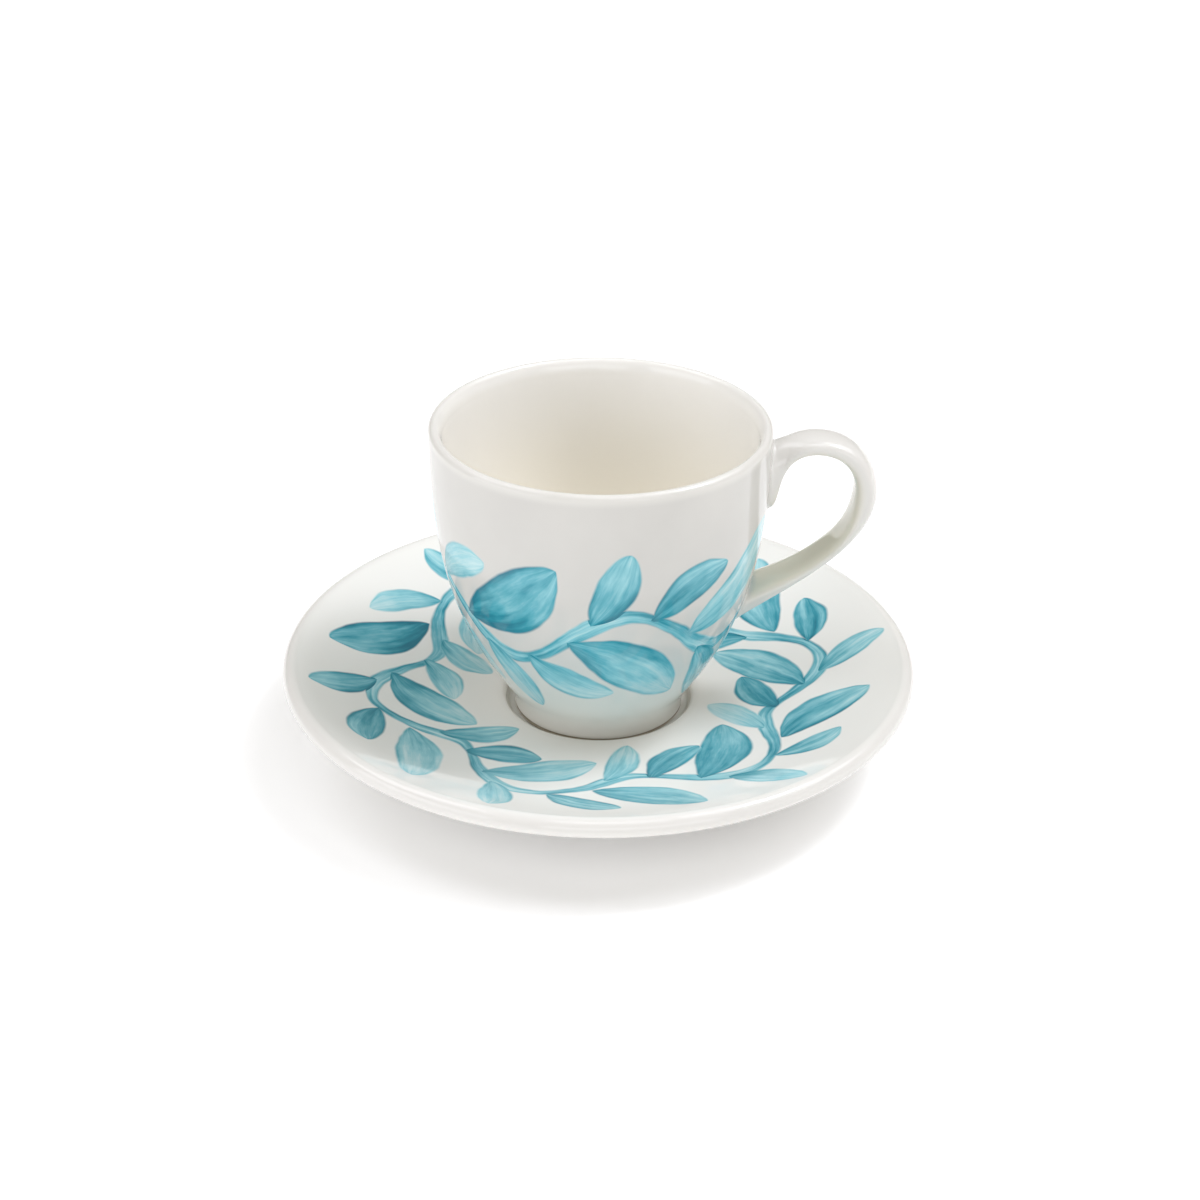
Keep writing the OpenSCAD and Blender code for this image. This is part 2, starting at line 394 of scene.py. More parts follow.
# The strap runs between an outer and an inner edge in side view.
crown = complex(CUP_R + CROWN_OUT_SHARE * HANDLE_REACH, CUP_H - HANDLE_DROP)
belly = complex(CUP_R + HANDLE_REACH, crown.imag - BELLY_DOWN_SHARE * (crown.imag - HANDLE_LOW))
upper_z = crown.imag - UPPER_JOINT_SHARE * UPPER_JOINT_H


def strap_edge(first, out, end, fall, slope, lead):
    """An edge from its first run over the crown to out and down to end, with a root in the wall at both ends."""
    over = first[-1]
    aside, down = out.real - over.real, over.imag - out.imag
    root = [first[0] - ROOT_DEPTH * (1 - i / STRAP_ROOT_STEPS) for i in range(STRAP_ROOT_STEPS)]
    tail = [end - ROOT_DEPTH * (i + 1) / STRAP_ROOT_STEPS for i in range(STRAP_ROOT_STEPS)]
    turn = (over, over + TURN_SHARE * aside, out + TURN_SHARE * 1j * down, out)
    drop = (
        out,
        out - fall * 1j * (out.imag - end.imag),
        end + lead * (out.real - end.real) * toward(slope),
        end,
    )
    return root + first + curve(turn, STRAP_STEPS)[1:] + curve(drop, STRAP_STEPS)[1:] + tail


def strap_edges():
    start = complex(wall_r(upper_z), upper_z)
    rise = crown - start
    neck = start + complex(NECK_SHARES[0] * rise.real, NECK_SHARES[1] * rise.imag)
    outer = strap_edge(
        curve((start, neck, crown - CROWN_SHARE * rise.real, crown), STRAP_STEPS),
        belly,
        complex(wall_r(HANDLE_LOW), HANDLE_LOW),
        *OUTER_END,
    )
    tail_z = upper_z - UPPER_JOINT_H
    start = complex(wall_r(tail_z), tail_z)
    side, up = HEEL_SHARES[0] * STRAP_T, HEEL_SHARES[1] * STRAP_T
    heel = start + complex(side, up)
    under = crown - UNDER_CROWN_SHARE * 1j * STRAP_T
    rise = under - heel
    foot = (start, start + HEEL_TURN_SHARE * side, heel - HEEL_TURN_SHARE * 1j * up, heel)
    arch = (
        heel,
        heel + complex(ARCH_SHARES[0] * rise.real, ARCH_SHARES[1] * rise.imag),
        under - ARCH_TOP_SHARE * rise.real,
        under,
    )
    end_z = HANDLE_LOW + LOWER_JOINT_H
    inner = strap_edge(
        curve(foot, STRAP_TAIL_STEPS) + curve(arch, STRAP_STEPS - STRAP_TAIL_STEPS)[1:],
        belly - STRAP_T,
        complex(wall_r(end_z), end_z),
        *INNER_END,
    )
    return outer, inner


def rounded(c, power):
    return math.copysign(abs(c) ** power, c)


def off_wall(p):
    """How far a point stands out from the cup's wall, square to it."""
    return (math.hypot(p.x, p.y) - wall_r(p.z)) / math.hypot(1, wall_slope(p.z))


def trimmed(line):
    """The stretch of a strap's line outside the wall, from one joint to the other."""
    clear = [off_wall(p) for p in line]
    i = next(k for k in range(len(line)) if clear[k] > 0)
    j = next(k for k in reversed(range(len(line))) if clear[k] > 0)
    first, last = line[0], line[-1]
    if i:
        first = line[i - 1].lerp(line[i], clear[i - 1] / (clear[i - 1] - clear[i]))
    if j + 1 < len(line):
        last = line[j].lerp(line[j + 1], clear[j] / (clear[j] - clear[j + 1]))
    return [first] + line[i : j + 1] + [last]


def spaced(line, shares):
    """Points on a line at shares of its length."""
    far = [0.0]
    for a, b in zip(line, line[1:]):
        far.append(far[-1] + (b - a).length)
    points, k = [], 0
    for share in shares:
        aim = share * far[-1]
        while k < len(line) - 2 and far[k + 1] < aim:
            k += 1
        step = far[k + 1] - far[k]
        points.append(line[k].lerp(line[k + 1], (aim - far[k]) / step if step else 0))
    return points


def filleted(p, ring):
    """A point of the strap, led out along the wall in a cove where it comes close to it."""
    clear = max(0.0, off_wall(p))
    if clear >= JOINT_FILLET:
        return p
    middle = sum(ring, Vector()) / len(ring)
    near = 1 - clear / JOINT_FILLET
    push = JOINT_FILLET * (1 - math.sqrt(1 - near * near))
    moved = p + (p - middle).normalized() * push
    sunk = clear - JOINT_SINK * near**JOINT_SINK_POWER
    out = wall_r(moved.z) + sunk * math.hypot(1, wall_slope(moved.z))
    keep = out / math.hypot(moved.x, moved.y)
    return Vector((moved.x * keep, moved.y * keep, moved.z))


def strap_rings():
    """Rings of points round the strap, closest together at its joints."""
    outer, inner = strap_edges()
    last = len(outer) - 1
    lines = []
    for j in range(STRAP_SIDES):
        a = 2 * math.pi * j / STRAP_SIDES
        bar = OUTER_ROUND if math.cos(a) > 0 else INNER_ROUND
        line = []
        for i, (o, n) in enumerate(zip(outer, inner)):
            spread = max(0, 1 - min(i, last - i) / last / FLARE_REACH_SHARE) ** 2
            low = eased((i / last - LOWER_FROM_SHARE) / (LOWER_FULL_SHARE - LOWER_FROM_SHARE))
            n += low * LOWER_THICK * (n - o) / abs(n - o)
            power = bar + (JOINT_ROUND - bar) * spread
            side = (o + n) / 2 + rounded(math.cos(a), power) * (o - n) / 2
            half = STRAP_W / 2 + JOINT_FLARE * spread + LOWER_BROAD * low
            line.append(Vector((side.real, rounded(math.sin(a), power) * half, side.imag)))
        lines.append(trimmed(line))
    shares = []
    for i in range(STRAP_RINGS + 1):
        turn = 2 * math.pi * i / STRAP_RINGS
        shares.append((turn - RING_CROWDING * math.sin(turn)) / (2 * math.pi))
    rings = zip(*[spaced(line, shares) for line in lines])
    return [[filleted(p, ring) for p in ring] for ring in rings]


def strap(name, base_z, body, node):
    """The strap as one closed mesh, with a fan of faces in the wall at each end."""
    rings = strap_rings()
    up = Vector((0, 0, base_z))
    verts = [(p + up) * MM for ring in rings for p in ring]
    faces = []
    for i in range(len(rings) - 1):
        for j in range(STRAP_SIDES):
            a, b = i * STRAP_SIDES + j, i * STRAP_SIDES + (j + 1) % STRAP_SIDES
            faces.append((a, a + STRAP_SIDES, b + STRAP_SIDES, b))
    for start, forward in ((0, True), ((len(rings) - 1) * STRAP_SIDES, False)):
        verts.append(sum(verts[start : start + STRAP_SIDES], Vector()) / STRAP_SIDES)
        middle = len(verts) - 1
        for j in range(STRAP_SIDES):
            a, b = start + j, start + (j + 1) % STRAP_SIDES
            faces.append((a, b, middle) if forward else (b, a, middle))
    # The strap's within mark picks its inner face, which takes painted shade, and fades out towards both joints
    around = [min(1.0, max(0.0, -INNER_FACE * math.cos(2 * math.pi * j / STRAP_SIDES))) for j in range(STRAP_SIDES)]
    lower, upper = INNER_FACE_ENDS
    along = [min(1.0, lower * (1 - i / STRAP_RINGS), upper * i / STRAP_RINGS) for i in range(len(rings))]
    marks = {"within": [x * y for x in along for y in around] + [0.0, 0.0]}
    return piece(name, verts, faces, marks, body, node)


cup = turned("cup_bowl", cup_profile(), WELL_Z, "cup", "cup_body")
handle = strap("cup_strap", WELL_Z, "cup", "cup_handle")
plate = turned("saucer_plate", saucer_profile(), 0.0, "saucer", "saucer")


class Wire:
    """A number on its way through a material's nodes. Arithmetic on it adds Math nodes."""

    def __init__(self, tree, socket):
        self.tree, self.socket = tree, socket

    def math(self, operation, *others, turned_round=False):
        node = self.tree.nodes.new("ShaderNodeMath")
        node.operation = operation
        values = (self, *others)
        for slot, value in zip(node.inputs, reversed(values) if turned_round else values):
            feed(self.tree, slot, value)
        return Wire(self.tree, node.outputs[0])

    def __add__(self, other):
        return self.math("ADD", other)

    def __mul__(self, other):
        return self.math("MULTIPLY", other)

    def __sub__(self, other):
        return self.math("SUBTRACT", other)

    def __truediv__(self, other):
        return self.math("DIVIDE", other)

    def __rsub__(self, other):
        return self.math("SUBTRACT", other, turned_round=True)

    __radd__, __rmul__ = __add__, __mul__

    def step(self, low, high):
        """A smooth rise from 0 at low to 1 at high."""
        node = self.tree.nodes.new("ShaderNodeMapRange")
        node.interpolation_type = "SMOOTHSTEP"
        feed(self.tree, node.inputs["Value"], self)
        feed(self.tree, node.inputs["From Min"], low)
        feed(self.tree, node.inputs["From Max"], high)
        return Wire(self.tree, node.outputs["Result"])


def feed(tree, slot, value):
    """Links a wire or a socket to a slot, or sets the slot to a plain value."""
    if isinstance(value, Wire):
        tree.links.new(value.socket, slot)
    elif isinstance(value, bpy.types.NodeSocket):
        tree.links.new(value, slot)
    else:
        slot.default_value = value


def socket(sockets, identifier):
    """A socket of a node that has several with one name."""
    return next(s for s in sockets if s.identifier == identifier)


def vector(tree, x, y, z):
    node = tree.nodes.new("ShaderNodeCombineXYZ")
    for slot, value in zip(node.inputs, (x, y, z)):
        feed(tree, slot, value)
    return node.outputs[0]


def split(tree, source):
    node = tree.nodes.new("ShaderNodeSeparateXYZ")
    tree.links.new(source, node.inputs[0])
    return [Wire(tree, out) for out in node.outputs]


def place_of(tree):
    """The place on the piece, in metres as a vector and in millimetres as x, y and z."""
    where = tree.nodes.new("ShaderNodeTexCoord").outputs["Object"]
    return where, [w * (1 / MM) for w in split(tree, where)]


def length_of(x, y):
    return (x * x + y * y).math("SQRT")


def mark(tree, name):
    """A value that the mesh carries at its points."""
    node = tree.nodes.new("ShaderNodeAttribute")
    node.attribute_name = name
    return Wire(tree, node.outputs["Fac"])


def noise_node(tree, where, scale, detail=2.0, rough=0.5):
    node = tree.nodes.new("ShaderNodeTexNoise")
    feed(tree, node.inputs["Vector"], where)
    node.inputs["Scale"].default_value = scale
    node.inputs["Detail"].default_value = detail
    node.inputs["Roughness"].default_value = rough
    return node


def noise(tree, where, scale, **look):
    """A noise value from 0 to 1."""
    return Wire(tree, noise_node(tree, where, scale, **look).outputs["Fac"])


def noises(tree, where, scale):
    """Three noise values from 0 to 1, independent of each other."""
    return split(tree, noise_node(tree, where, scale).outputs["Color"])


def blend(tree, share, a, b, kind="Color"):
    """A mix of two colours, or of two vectors."""
    node = tree.nodes.new("ShaderNodeMix")
    node.data_type = {"Color": "RGBA", "Vector": "VECTOR"}[kind]
    feed(tree, node.inputs["Factor"], share)
    feed(tree, socket(node.inputs, "A_" + kind), a)
    feed(tree, socket(node.inputs, "B_" + kind), b)
    return socket(node.outputs, "Result_" + kind)


def new_material(name):
    made = bpy.data.materials.new(name)
    made.use_nodes = True
    tree = made.node_tree
    return made, tree, tree.nodes["Principled BSDF"]


def srgb(*screen):
    """A colour given by its 8-bit screen values."""
    linear = []
    for value in screen:
        c = value / 255
        linear.append(c / 12.92 if c <= 0.04045 else ((c + 0.055) / 1.055) ** 2.4)
    return (*linear, 1.0)


# Colours of the ware. It is one white glaze, given darker copies as painted shade and lighter ones as painted light,
# as said at each.
# Painted shade: the cup's outside, darker than its inside
SHADED_GLAZE_ON_CUP = srgb(198, 196, 192)
# Painted light: the cup's outside turns to this towards its foot
PAINTED_LIGHT_AT_FOOT = srgb(240, 238, 230)
GLAZE_IN_CUP = srgb(240, 239, 236)
# Painted light: the cup's inside turns paler and creamier to this deep down, for light thrown back inside it
PAINTED_LIGHT_DEEP_IN_CUP = srgb(249, 245, 235)
# Painted shade: the strap's outside, darker than the glaze's white
SHADED_GLAZE_ON_STRAP = srgb(217, 215, 211)
# Painted shade on the strap's inner face, which the cup and the strap's arch shade
PAINTED_SHADE_IN_STRAP = srgb(214, 208, 195)
# Painted light: the strap's inner face turns to this lower down
PAINTED_LIGHT_LOW_IN_STRAP = srgb(244, 236, 219)
# Painted shade: the saucer's underside, darker than its upper face
SHADED_GLAZE_UNDER_SAUCER = srgb(219, 217, 214)
GLAZE_ON_SAUCER = srgb(239, 237, 232)
# Darker and greener in hollows: partly pooled glaze, partly painted shade
POOLED_GLAZE_AND_SHADE = srgb(206, 214, 208)
THIN = srgb(229, 227, 221)
BARE_CLAY = srgb(205, 194, 176)
# Dark brown line above the bare foot: partly the glaze's edge, partly painted contact shadow where the foot stands
GLAZE_LINE_AND_CONTACT_SHADOW = srgb(128, 112, 88)
WASHES = (
    (0.0, srgb(186, 224, 228)),
    (0.3, srgb(134, 202, 212)),
    (0.55, srgb(88, 172, 187)),
    (0.8, srgb(52, 143, 160)),
    (1.0, srgb(36, 117, 137)),
)

# How far below the lip the inside begins to turn to its painted light, paler and creamier, standing in for light
# thrown back inside the cup, and where that is fullest
DEEP_FROM, DEEP_TO = 2.0, 30.0
# Heights on the cup's outside between which it turns lighter towards the foot: painted light
LOW_LIGHT_FROM, LOW_LIGHT_TO = 26.0, 5.0
# Bends between which the glaze pools in a hollow, with painted shade, or thins on an edge, and how much that shows
POOL_FROM, POOL_TO, POOL_SHARE = 0.05, 0.9, 0.3
THIN_FROM, THIN_TO, THIN_SHARE = -0.15, -1.0, 0.5
# Clouds of thin glaze, as a middle share and its swing, and the fineness of clouds, ripples and grain as noise
CLOUD_MIDDLE, CLOUD_SWING = 0.25, 0.5
CLOUD_SCALE, CLOUD_DETAIL = 55.0, 3.0
RIPPLE_SCALE, GRAIN_SCALE = 95.0, 900.0
# How high above a standing face the glaze ends, how its edge wavers, and the widths of its brown line, which is
# partly the glaze's edge and partly painted contact shadow
GLAZE_END = 0.75
EDGE_WAVER = 0.5
EDGE_FAR, EDGE_NEAR, EDGE_SHARE = 0.35, 0.1, 0.85
BARE_SOFT = 0.15
# Gloss
GLAZE_ROUGH, CLOUD_ROUGH, GRAIN_ROUGH = 0.03, 0.03, 0.015
CLAY_ROUGH = 0.75
CLAY_GRAIN = 0.6
RIPPLE_STRENGTH, RIPPLE_DEPTH = 0.12, 0.0004
GLAZE_IOR = 1.5

# A garland: a wavy stem with one large leaf in each bend and two small ones on its outer side.
# Per leaf: where it leaves the stem along and across the wave, heading, length, width, arch.
# Lengths are shares of one wave.
LEAVES = (
    (0.03, 0.0, -36, 0.55, 0.23, 0.2),
    (0.115, 0.10, 66, 0.36, 0.16, -0.14),
    (0.345, 0.105, 28, 0.37, 0.155, 0.18),
)
STEM_RISE = 0.13
STEM_HALF, STEM_SWELL = 0.032, 0.25
# Powers of the distance from base and tip that shape a leaf
LEAF_BASE, LEAF_TIP = 0.8, 0.68
LEAF_FULL = (LEAF_BASE / (LEAF_BASE + LEAF_TIP)) ** LEAF_BASE * (LEAF_TIP / (LEAF_BASE + LEAF_TIP)) ** LEAF_TIP
# Least share and spread of each leaf's own length, width and bow
LENGTHS, WIDTHS, BOWS = (0.94, 0.12), (0.9, 0.2), (0.75, 0.5)
SEED_STEPS = (1.37, 5.71)
# Soft edge of a stroke, its wavering hand and where one stroke hides another
SOFT_EDGE = 0.32
WAVER, WAVER_SCALE = 1.6, 110.0
HIDES = (0.02, 0.06)
# How unlike in tone the leaves are, how far each fades to its tip, and how the stem's tone swings
LEAF_LOAD, LEAF_FADE, STEM_LOAD = 0.5, 0.34, 0.12
# Bristle streaks along and across a stroke
STEM_STREAK = (0.1, 1.6)
LEAF_STREAK = (0.09, 3.2)
LEAF_STREAK_EASE = 0.9
LEAF_STREAK_SHIFTS = (3.1, 2.3)
# Tone of the paint: its middle, and how far streaks, washes, patches and the dark rim of a stroke swing it
TONE_MIDDLE = 0.43
STREAK_TONE, WASH_TONE, PATCH_TONE, RIM_TONE = 1.1, 0.8, 0.3, 0.15
STREAK_SCALE, STREAK_DETAIL, STREAK_ROUGH = 1.0, 4.0, 0.6
WASH_SCALE, PATCH_SCALE = 0.45, 260.0
RIM_FROM, RIM_TO = 1.1, 0.1
COVER_THIN, COVER_SWING = 0.82, 0.25

# Waves, turn in radians and place of the garland on the cup and on the saucer, and the marks at which it
# fades in from the lip
CUP_WAVES, CUP_TURN, CUP_BAND_Z, CUP_BAND_R = 4, 0.9, 28.0, 29.5
CUP_STOP = (0.4, 0.1)
PLATE_WAVES, PLATE_TURN, PLATE_BAND_R = 6, 0.4, 38.5
PLATE_STOP = (0.6, 0.9)


class Brush:
    """The garland's strokes on one surface: how far the colour covers, and where in its stroke a point lies."""

    def __init__(self, tree, waves, ring_r, phase, theta, r, level, flat_face):
        self.tree, self.waves, self.ring_r, self.phase = tree, waves, ring_r, phase
        self.theta, self.r, self.level, self.flat_face = theta, r, level, flat_face
        self.wave = 2 * math.pi * ring_r / waves
        self.cover = self.place = self.depth = self.load = None

    def lay(self, place, depth, load):
        """Adds a stroke, given the place in it, the depth inside its edge and the load of paint."""
        mask = depth.step(-SOFT_EDGE, SOFT_EDGE)
        if self.cover is None:
            self.cover, self.place, self.depth, self.load = mask, place, depth, load
            return
        on_top = mask.step(*HIDES)
        self.place = blend(self.tree, on_top, self.place, place, "Vector")
        self.depth = self.depth + (depth - self.depth) * on_top
        self.load = self.load + (load - self.load) * on_top
        self.cover = self.cover.math("MAXIMUM", mask)

    def stem(self, x, y):
        rise = STEM_RISE * self.wave
        angle = self.theta * self.waves + self.phase
        slope = angle.math("COSINE") * (rise * self.waves / self.ring_r)
        across = (self.level - angle.math("SINE") * rise) / (slope * slope + 1).math("SQRT")
        half = STEM_HALF * self.wave
        depth = (angle * 2).math("SINE") * STEM_SWELL * half + half - across.math("ABSOLUTE")
        along, over = STEM_STREAK
        place = vector(self.tree, x * along, y * along, across * over)
        self.lay(place, depth, (angle * 2 + 1).math("COSINE") * STEM_LOAD)

    def leaf(self, number, along, across, degrees, length, width, arch, flip):
        wave = self.wave
        length, width = length * wave, width * wave
        way = math.radians(degrees) * flip
        middle = along * wave + 0.5 * length * math.cos(way) + (0.5 * wave if flip < 0 else 0.0)
        height = flip * across * wave + 0.5 * length * math.sin(way)
        turn = (self.theta + (self.phase / self.waves - middle / self.ring_r)) * (self.waves / (2 * math.pi))
        cell = (turn + 0.5).math("FLOOR")
        angle = (turn - cell) * (2 * math.pi / self.waves)
        if self.flat_face:
            du = angle.math("SINE") * self.r
            dv = angle.math("COSINE") * self.r - (self.ring_r + height)
        else:
            du = angle * self.r
            dv = self.level - height
        seed = cell.math("FLOORED_MODULO", float(self.waves)) * SEED_STEPS[0] + number * SEED_STEPS[1]
        node = self.tree.nodes.new("ShaderNodeTexWhiteNoise")
        node.noise_dimensions = "1D"
        feed(self.tree, node.inputs["W"], seed)
        luck = split(self.tree, node.outputs["Color"])
        run = du * math.cos(way) + dv * math.sin(way) + 0.5 * length
        full = luck[0] * (LENGTHS[1] * length) + LENGTHS[0] * length
        share = (run / full).math("MAXIMUM", 0.0).math("MINIMUM", 1.0)
        rest = 1 - share
        bow = share * rest * ((luck[1] * BOWS[1] + BOWS[0]) * (4 * arch * flip * width))
        off = dv * math.cos(way) - du * math.sin(way) - bow
        half = share.math("POWER", LEAF_BASE) * rest.math("POWER", LEAF_TIP) * (luck[2] * WIDTHS[1] + WIDTHS[0])
        half = half * (0.5 * width / LEAF_FULL)
        past = (run - full * 0.5).math("ABSOLUTE") - full * 0.5
        depth = half - off.math("ABSOLUTE") - past.math("MAXIMUM", 0.0)
        place = vector(
            self.tree,
            run * LEAF_STREAK[0] + seed * LEAF_STREAK_SHIFTS[0],
            off / (half + LEAF_STREAK_EASE) * LEAF_STREAK[1],
            seed * LEAF_STREAK_SHIFTS[1],
        )
        self.lay(place, depth, (luck[2] - 0.5) * LEAF_LOAD + (0.5 - share) * LEAF_FADE)


def garland(tree, waves, ring_r, phase, level_of, flat_face):
    """Nodes of the painted garland: its cover and its colour."""
    where, (x, y, z) = place_of(tree)
    waver = noises(tree, where, WAVER_SCALE)
    r = length_of(x, y)
    theta = y.math("ARCTAN2", x) + (waver[0] - 0.5) * WAVER / r
    level = level_of(r, z) + (waver[1] - 0.5) * WAVER
    if flat_face:
        r = level + ring_r
    brush = Brush(tree, waves, ring_r, phase, theta, r, level, flat_face)
    brush.stem(x, y)
    for flip in (1, -1):
        for number, shape in enumerate(LEAVES):
            brush.leaf(number + len(LEAVES) * (flip < 0), *shape, flip)
    streak = noise(tree, brush.place, STREAK_SCALE, detail=STREAK_DETAIL, rough=STREAK_ROUGH)
    wash = noise(tree, brush.place, WASH_SCALE)
    patch = noise(tree, where, PATCH_SCALE)
    tone = (streak - 0.5) * STREAK_TONE + (wash - 0.5) * WASH_TONE + (patch - 0.5) * PATCH_TONE
    tone = tone + brush.depth.step(RIM_FROM, RIM_TO) * RIM_TONE + brush.load + TONE_MIDDLE
    ramp = tree.nodes.new("ShaderNodeValToRGB")
    stops = ramp.color_ramp.elements
    stops[0].position, stops[0].color = WASHES[0]
    stops[1].position, stops[1].color = WASHES[-1]
    for position, colour in WASHES[1:-1]:
        stops.new(position).color = colour
    feed(tree, ramp.inputs["Fac"], tone)
    cover = brush.cover * (tone * COVER_SWING + COVER_THIN).math("MINIMUM", 1.0)
    return cover, ramp.outputs["Color"]


def cup_paint(tree):
    band_z = WELL_Z + CUP_BAND_Z
    cover, tint = garland(tree, CUP_WAVES, CUP_BAND_R, CUP_TURN, lambda r, z: z - band_z, False)
    return cover * mark(tree, "within").step(*CUP_STOP), tint


def plate_paint(tree):
    cover, tint = garland(tree, PLATE_WAVES, PLATE_BAND_R, PLATE_TURN, lambda r, z: r - PLATE_BAND_R, True)
    return cover * mark(tree, "within").step(*PLATE_STOP), tint


def glaze(name, bare_below, outside, inside, painted_light_deep=None, low=None, paint=None):
    """Glossy glaze over clay, in colours that carry painted light and shade: it pools in hollows, where shade is
    also painted, thins on edges and leaves the standing face bare, with a dark line above it that is partly painted
    contact shadow.
    """
    made, tree, shader = new_material(name)
    where, (_, _, z) = place_of(tree)
    cloud = noise(tree, where, CLOUD_SCALE, detail=CLOUD_DETAIL)
    grain = noise(tree, where, GRAIN_SCALE)
    lip_z = WELL_Z + CUP_H
    # Painted light: the outside turns lighter lower down
    if low:
        outside = blend(tree, z.step(WELL_Z + LOW_LIGHT_FROM, WELL_Z + LOW_LIGHT_TO), outside, low)
    # Painted light: the inside turns paler lower down, deep in the cup and on the strap's lower inner face
    if painted_light_deep:
        inside = blend(tree, z.step(lip_z - DEEP_FROM, lip_z - DEEP_TO), inside, painted_light_deep)
    colour = blend(tree, (cloud - 0.5) * CLOUD_SWING + CLOUD_MIDDLE, outside, THIN)
    colour = blend(tree, mark(tree, "within"), colour, inside)
    pool = mark(tree, "pool")
    # Darker and greener in hollows: partly pooled glaze, partly painted shade
    colour = blend(tree, pool.step(POOL_FROM, POOL_TO) * POOL_SHARE, colour, POOLED_GLAZE_AND_SHADE)
    colour = blend(tree, pool.step(THIN_FROM, THIN_TO) * THIN_SHARE, colour, THIN)
    if paint:
        cover, tint = paint(tree)
        colour = blend(tree, cover, colour, tint)
    edge = z + (cloud - 0.5) * EDGE_WAVER - (bare_below + GLAZE_END)
    # Dark line above the bare foot: partly the glaze's edge, partly painted contact shadow
    colour = blend(tree, edge.step(EDGE_FAR, EDGE_NEAR) * EDGE_SHARE, colour, GLAZE_LINE_AND_CONTACT_SHADOW)
    bare = edge.step(0.0, -BARE_SOFT)
    feed(tree, shader.inputs["Base Color"], blend(tree, bare, colour, BARE_CLAY))
    rough = cloud * CLOUD_ROUGH + GLAZE_ROUGH + grain * GRAIN_ROUGH
    feed(tree, shader.inputs["Roughness"], rough + (CLAY_ROUGH - rough) * bare)
    bump = tree.nodes.new("ShaderNodeBump")
    bump.inputs["Strength"].default_value = RIPPLE_STRENGTH
    bump.inputs["Distance"].default_value = RIPPLE_DEPTH
    feed(tree, bump.inputs["Height"], noise(tree, where, RIPPLE_SCALE) + grain * bare * CLAY_GRAIN)
    feed(tree, shader.inputs["Normal"], bump.outputs["Normal"])
    shader.inputs["IOR"].default_value = GLAZE_IOR
    return made


# The strap stands on nothing, so its glaze ends nowhere.
NO_STANDING_FACE = -1.0
cup.data.materials.append(
    glaze("cup_glaze", WELL_Z, SHADED_GLAZE_ON_CUP, GLAZE_IN_CUP, PAINTED_LIGHT_DEEP_IN_CUP, PAINTED_LIGHT_AT_FOOT, cup_paint)
)
# The strap: shaded outside, painted shade on its inner face turning to painted light lower down
handle.data.materials.append(
    glaze("strap_glaze", NO_STANDING_FACE, SHADED_GLAZE_ON_STRAP, PAINTED_SHADE_IN_STRAP, PAINTED_LIGHT_LOW_IN_STRAP)
)
plate.data.materials.append(
    glaze("saucer_glaze", 0.0, SHADED_GLAZE_UNDER_SAUCER, GLAZE_ON_SAUCER, paint=plate_paint)
)

# A white floor that glows faintly, less where the saucer stands over it and more far off
FLOOR_HALF = 12.0
FLOOR_WHITE = 0.93
FLOOR_ROUGH = 0.7
FLOOR_SHINE = 0.2
FLOOR_GLOW = 0.185
SHADE_GLOW = 0.07
SHADE_FROM, SHADE_TO = 52.0, 36.0
FAR_GLOW = 0.6
FAR_FROM, FAR_TO = 400.0, 1100.0
WHITE = (1.0, 1.0, 1.0, 1.0)
floor_mesh = bpy.data.meshes.new("floor")
floor_corners = [(x * FLOOR_HALF, y * FLOOR_HALF, 0.0) for x, y in ((-1, -1), (1, -1), (1, 1), (-1, 1))]
floor_mesh.from_pydata(floor_corners, [], [(0, 1, 2, 3)])
floor = bpy.data.objects.new("floor", floor_mesh)
bpy.context.scene.collection.objects.link(floor)
floor_look, floor_tree, floor_shader = new_material("floor")
floor_shader.inputs["Base Color"].default_value = (FLOOR_WHITE,) * 3 + (1.0,)
floor_shader.inputs["Roughness"].default_value = FLOOR_ROUGH
floor_shader.inputs["Specular IOR Level"].default_value = FLOOR_SHINE
floor_shader.inputs["Emission Color"].default_value = WHITE
floor_x, floor_y, _ = place_of(floor_tree)[1]
from_axis = length_of(floor_x, floor_y)
glow = from_axis.step(SHADE_FROM, SHADE_TO) * (SHADE_GLOW - FLOOR_GLOW) + FLOOR_GLOW
glow = glow + from_axis.step(FAR_FROM, FAR_TO) * FAR_GLOW
feed(floor_tree, floor_shader.inputs["Emission Strength"], glow)
floor_mesh.materials.append(floor_look)

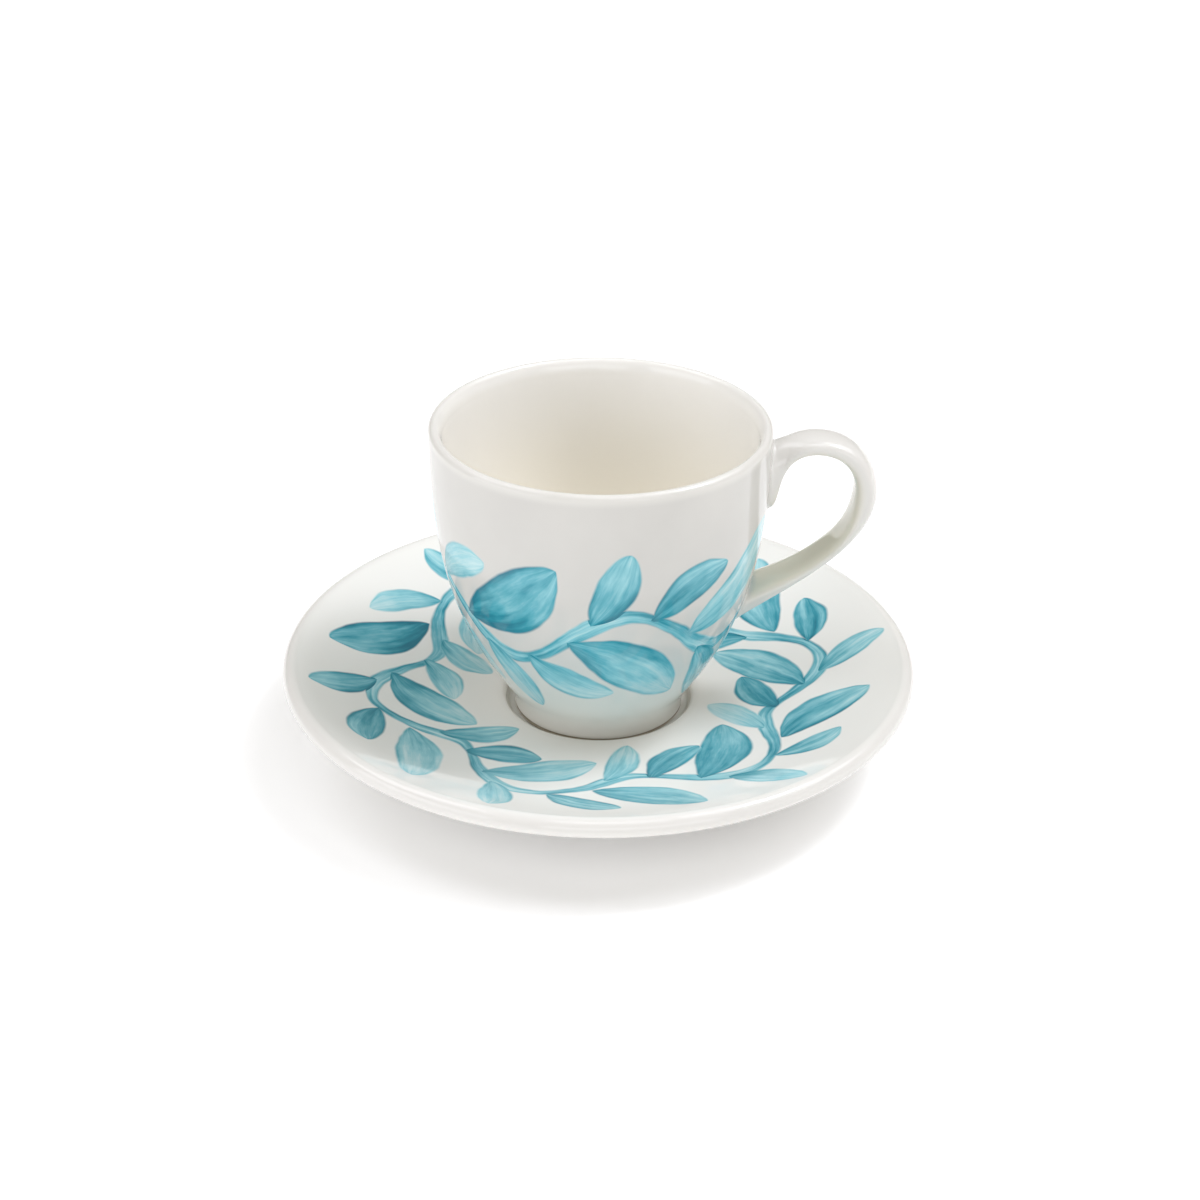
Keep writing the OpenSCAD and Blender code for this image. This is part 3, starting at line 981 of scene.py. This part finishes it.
# Soft boxes and one small lamp: name, place, size, watts
LIGHTS = (
    ("right_box", (0.6, 0.15, 0.97), (0.8, 0.8), 5.5),
    ("right_lamp", (0.55, 0.15, 1.0), (0.25, 0.25), 3.4),
    ("left_box", (-0.6, 0.15, 0.95), (0.6, 0.6), 2.9),
    ("top_box", (0.05, -0.22, 1.25), (0.5, 0.5), 2.0),
    ("low_left_box", (-0.9, -0.5, 0.32), (1.0, 0.5), 3.4),
    ("low_front_box", (0.2, -1.05, 0.26), (1.2, 0.34), 2.9),
)
LIGHT_AIM = Vector((0.0, 0.0, 0.03))
LIGHT_COLOUR = (0.98, 0.99, 1.05)
for light_name, place, size, watts in LIGHTS:
    lamp = bpy.data.lights.new(light_name, "AREA")
    lamp.shape = "RECTANGLE"
    lamp.size, lamp.size_y = size
    lamp.energy = watts
    lamp.color = LIGHT_COLOUR
    light = bpy.data.objects.new(light_name, lamp)
    light.location = place
    light.rotation_euler = (LIGHT_AIM - Vector(place)).to_track_quat("-Z", "Y").to_euler()
    bpy.context.scene.collection.objects.link(light)

# A dim, faintly warm room, and a white backdrop beyond the floor
ROOM = 0.28
ROOM_WARMTH = (1.0, 0.95, 0.80, 1.0)
world = bpy.data.worlds.new("studio")
world.use_nodes = True
room_tree = world.node_tree
room = room_tree.nodes["Background"]
room.inputs["Color"].default_value = ROOM_WARMTH
room.inputs["Strength"].default_value = ROOM
backdrop = room_tree.nodes.new("ShaderNodeBackground")
backdrop.inputs["Color"].default_value = WHITE
seen = room_tree.nodes.new("ShaderNodeMixShader")
feed(room_tree, seen.inputs["Fac"], room_tree.nodes.new("ShaderNodeLightPath").outputs["Is Camera Ray"])
feed(room_tree, socket(seen.inputs, "Shader"), room.outputs["Background"])
feed(room_tree, socket(seen.inputs, "Shader_001"), backdrop.outputs["Background"])
feed(room_tree, room_tree.nodes["World Output"].inputs["Surface"], seen.outputs["Shader"])
bpy.context.scene.world = world

# Camera at the photograph's viewing angle
CAMERA_FAR = 0.445
CAMERA_UP = 28.43
CAMERA_ROLL = 0.56
CAMERA_AIM_Z = 0.0286
CAMERA_LENS = 70.65
CAMERA_SENSOR = 36.0
CAMERA_NEAR = 0.01
IMAGE_PX = 1200
CAMERA_SHIFT_PX = 0.8
lens = bpy.data.cameras.new("camera")
lens.lens = CAMERA_LENS
lens.sensor_width = CAMERA_SENSOR
lens.shift_x = CAMERA_SHIFT_PX / IMAGE_PX
lens.clip_start = CAMERA_NEAR
camera = bpy.data.objects.new("camera", lens)
tilt = math.radians(CAMERA_UP)
camera.matrix_world = (
    Matrix.Translation((0, -CAMERA_FAR * math.cos(tilt), CAMERA_AIM_Z + CAMERA_FAR * math.sin(tilt)))
    @ Matrix.Rotation(math.pi / 2 - tilt, 4, "X")
    @ Matrix.Rotation(math.radians(CAMERA_ROLL), 4, "Z")
)
bpy.context.scene.collection.objects.link(camera)
bpy.context.scene.camera = camera

bpy.context.scene.view_settings.view_transform = "Standard"
bpy.context.scene.view_settings.look = "None"
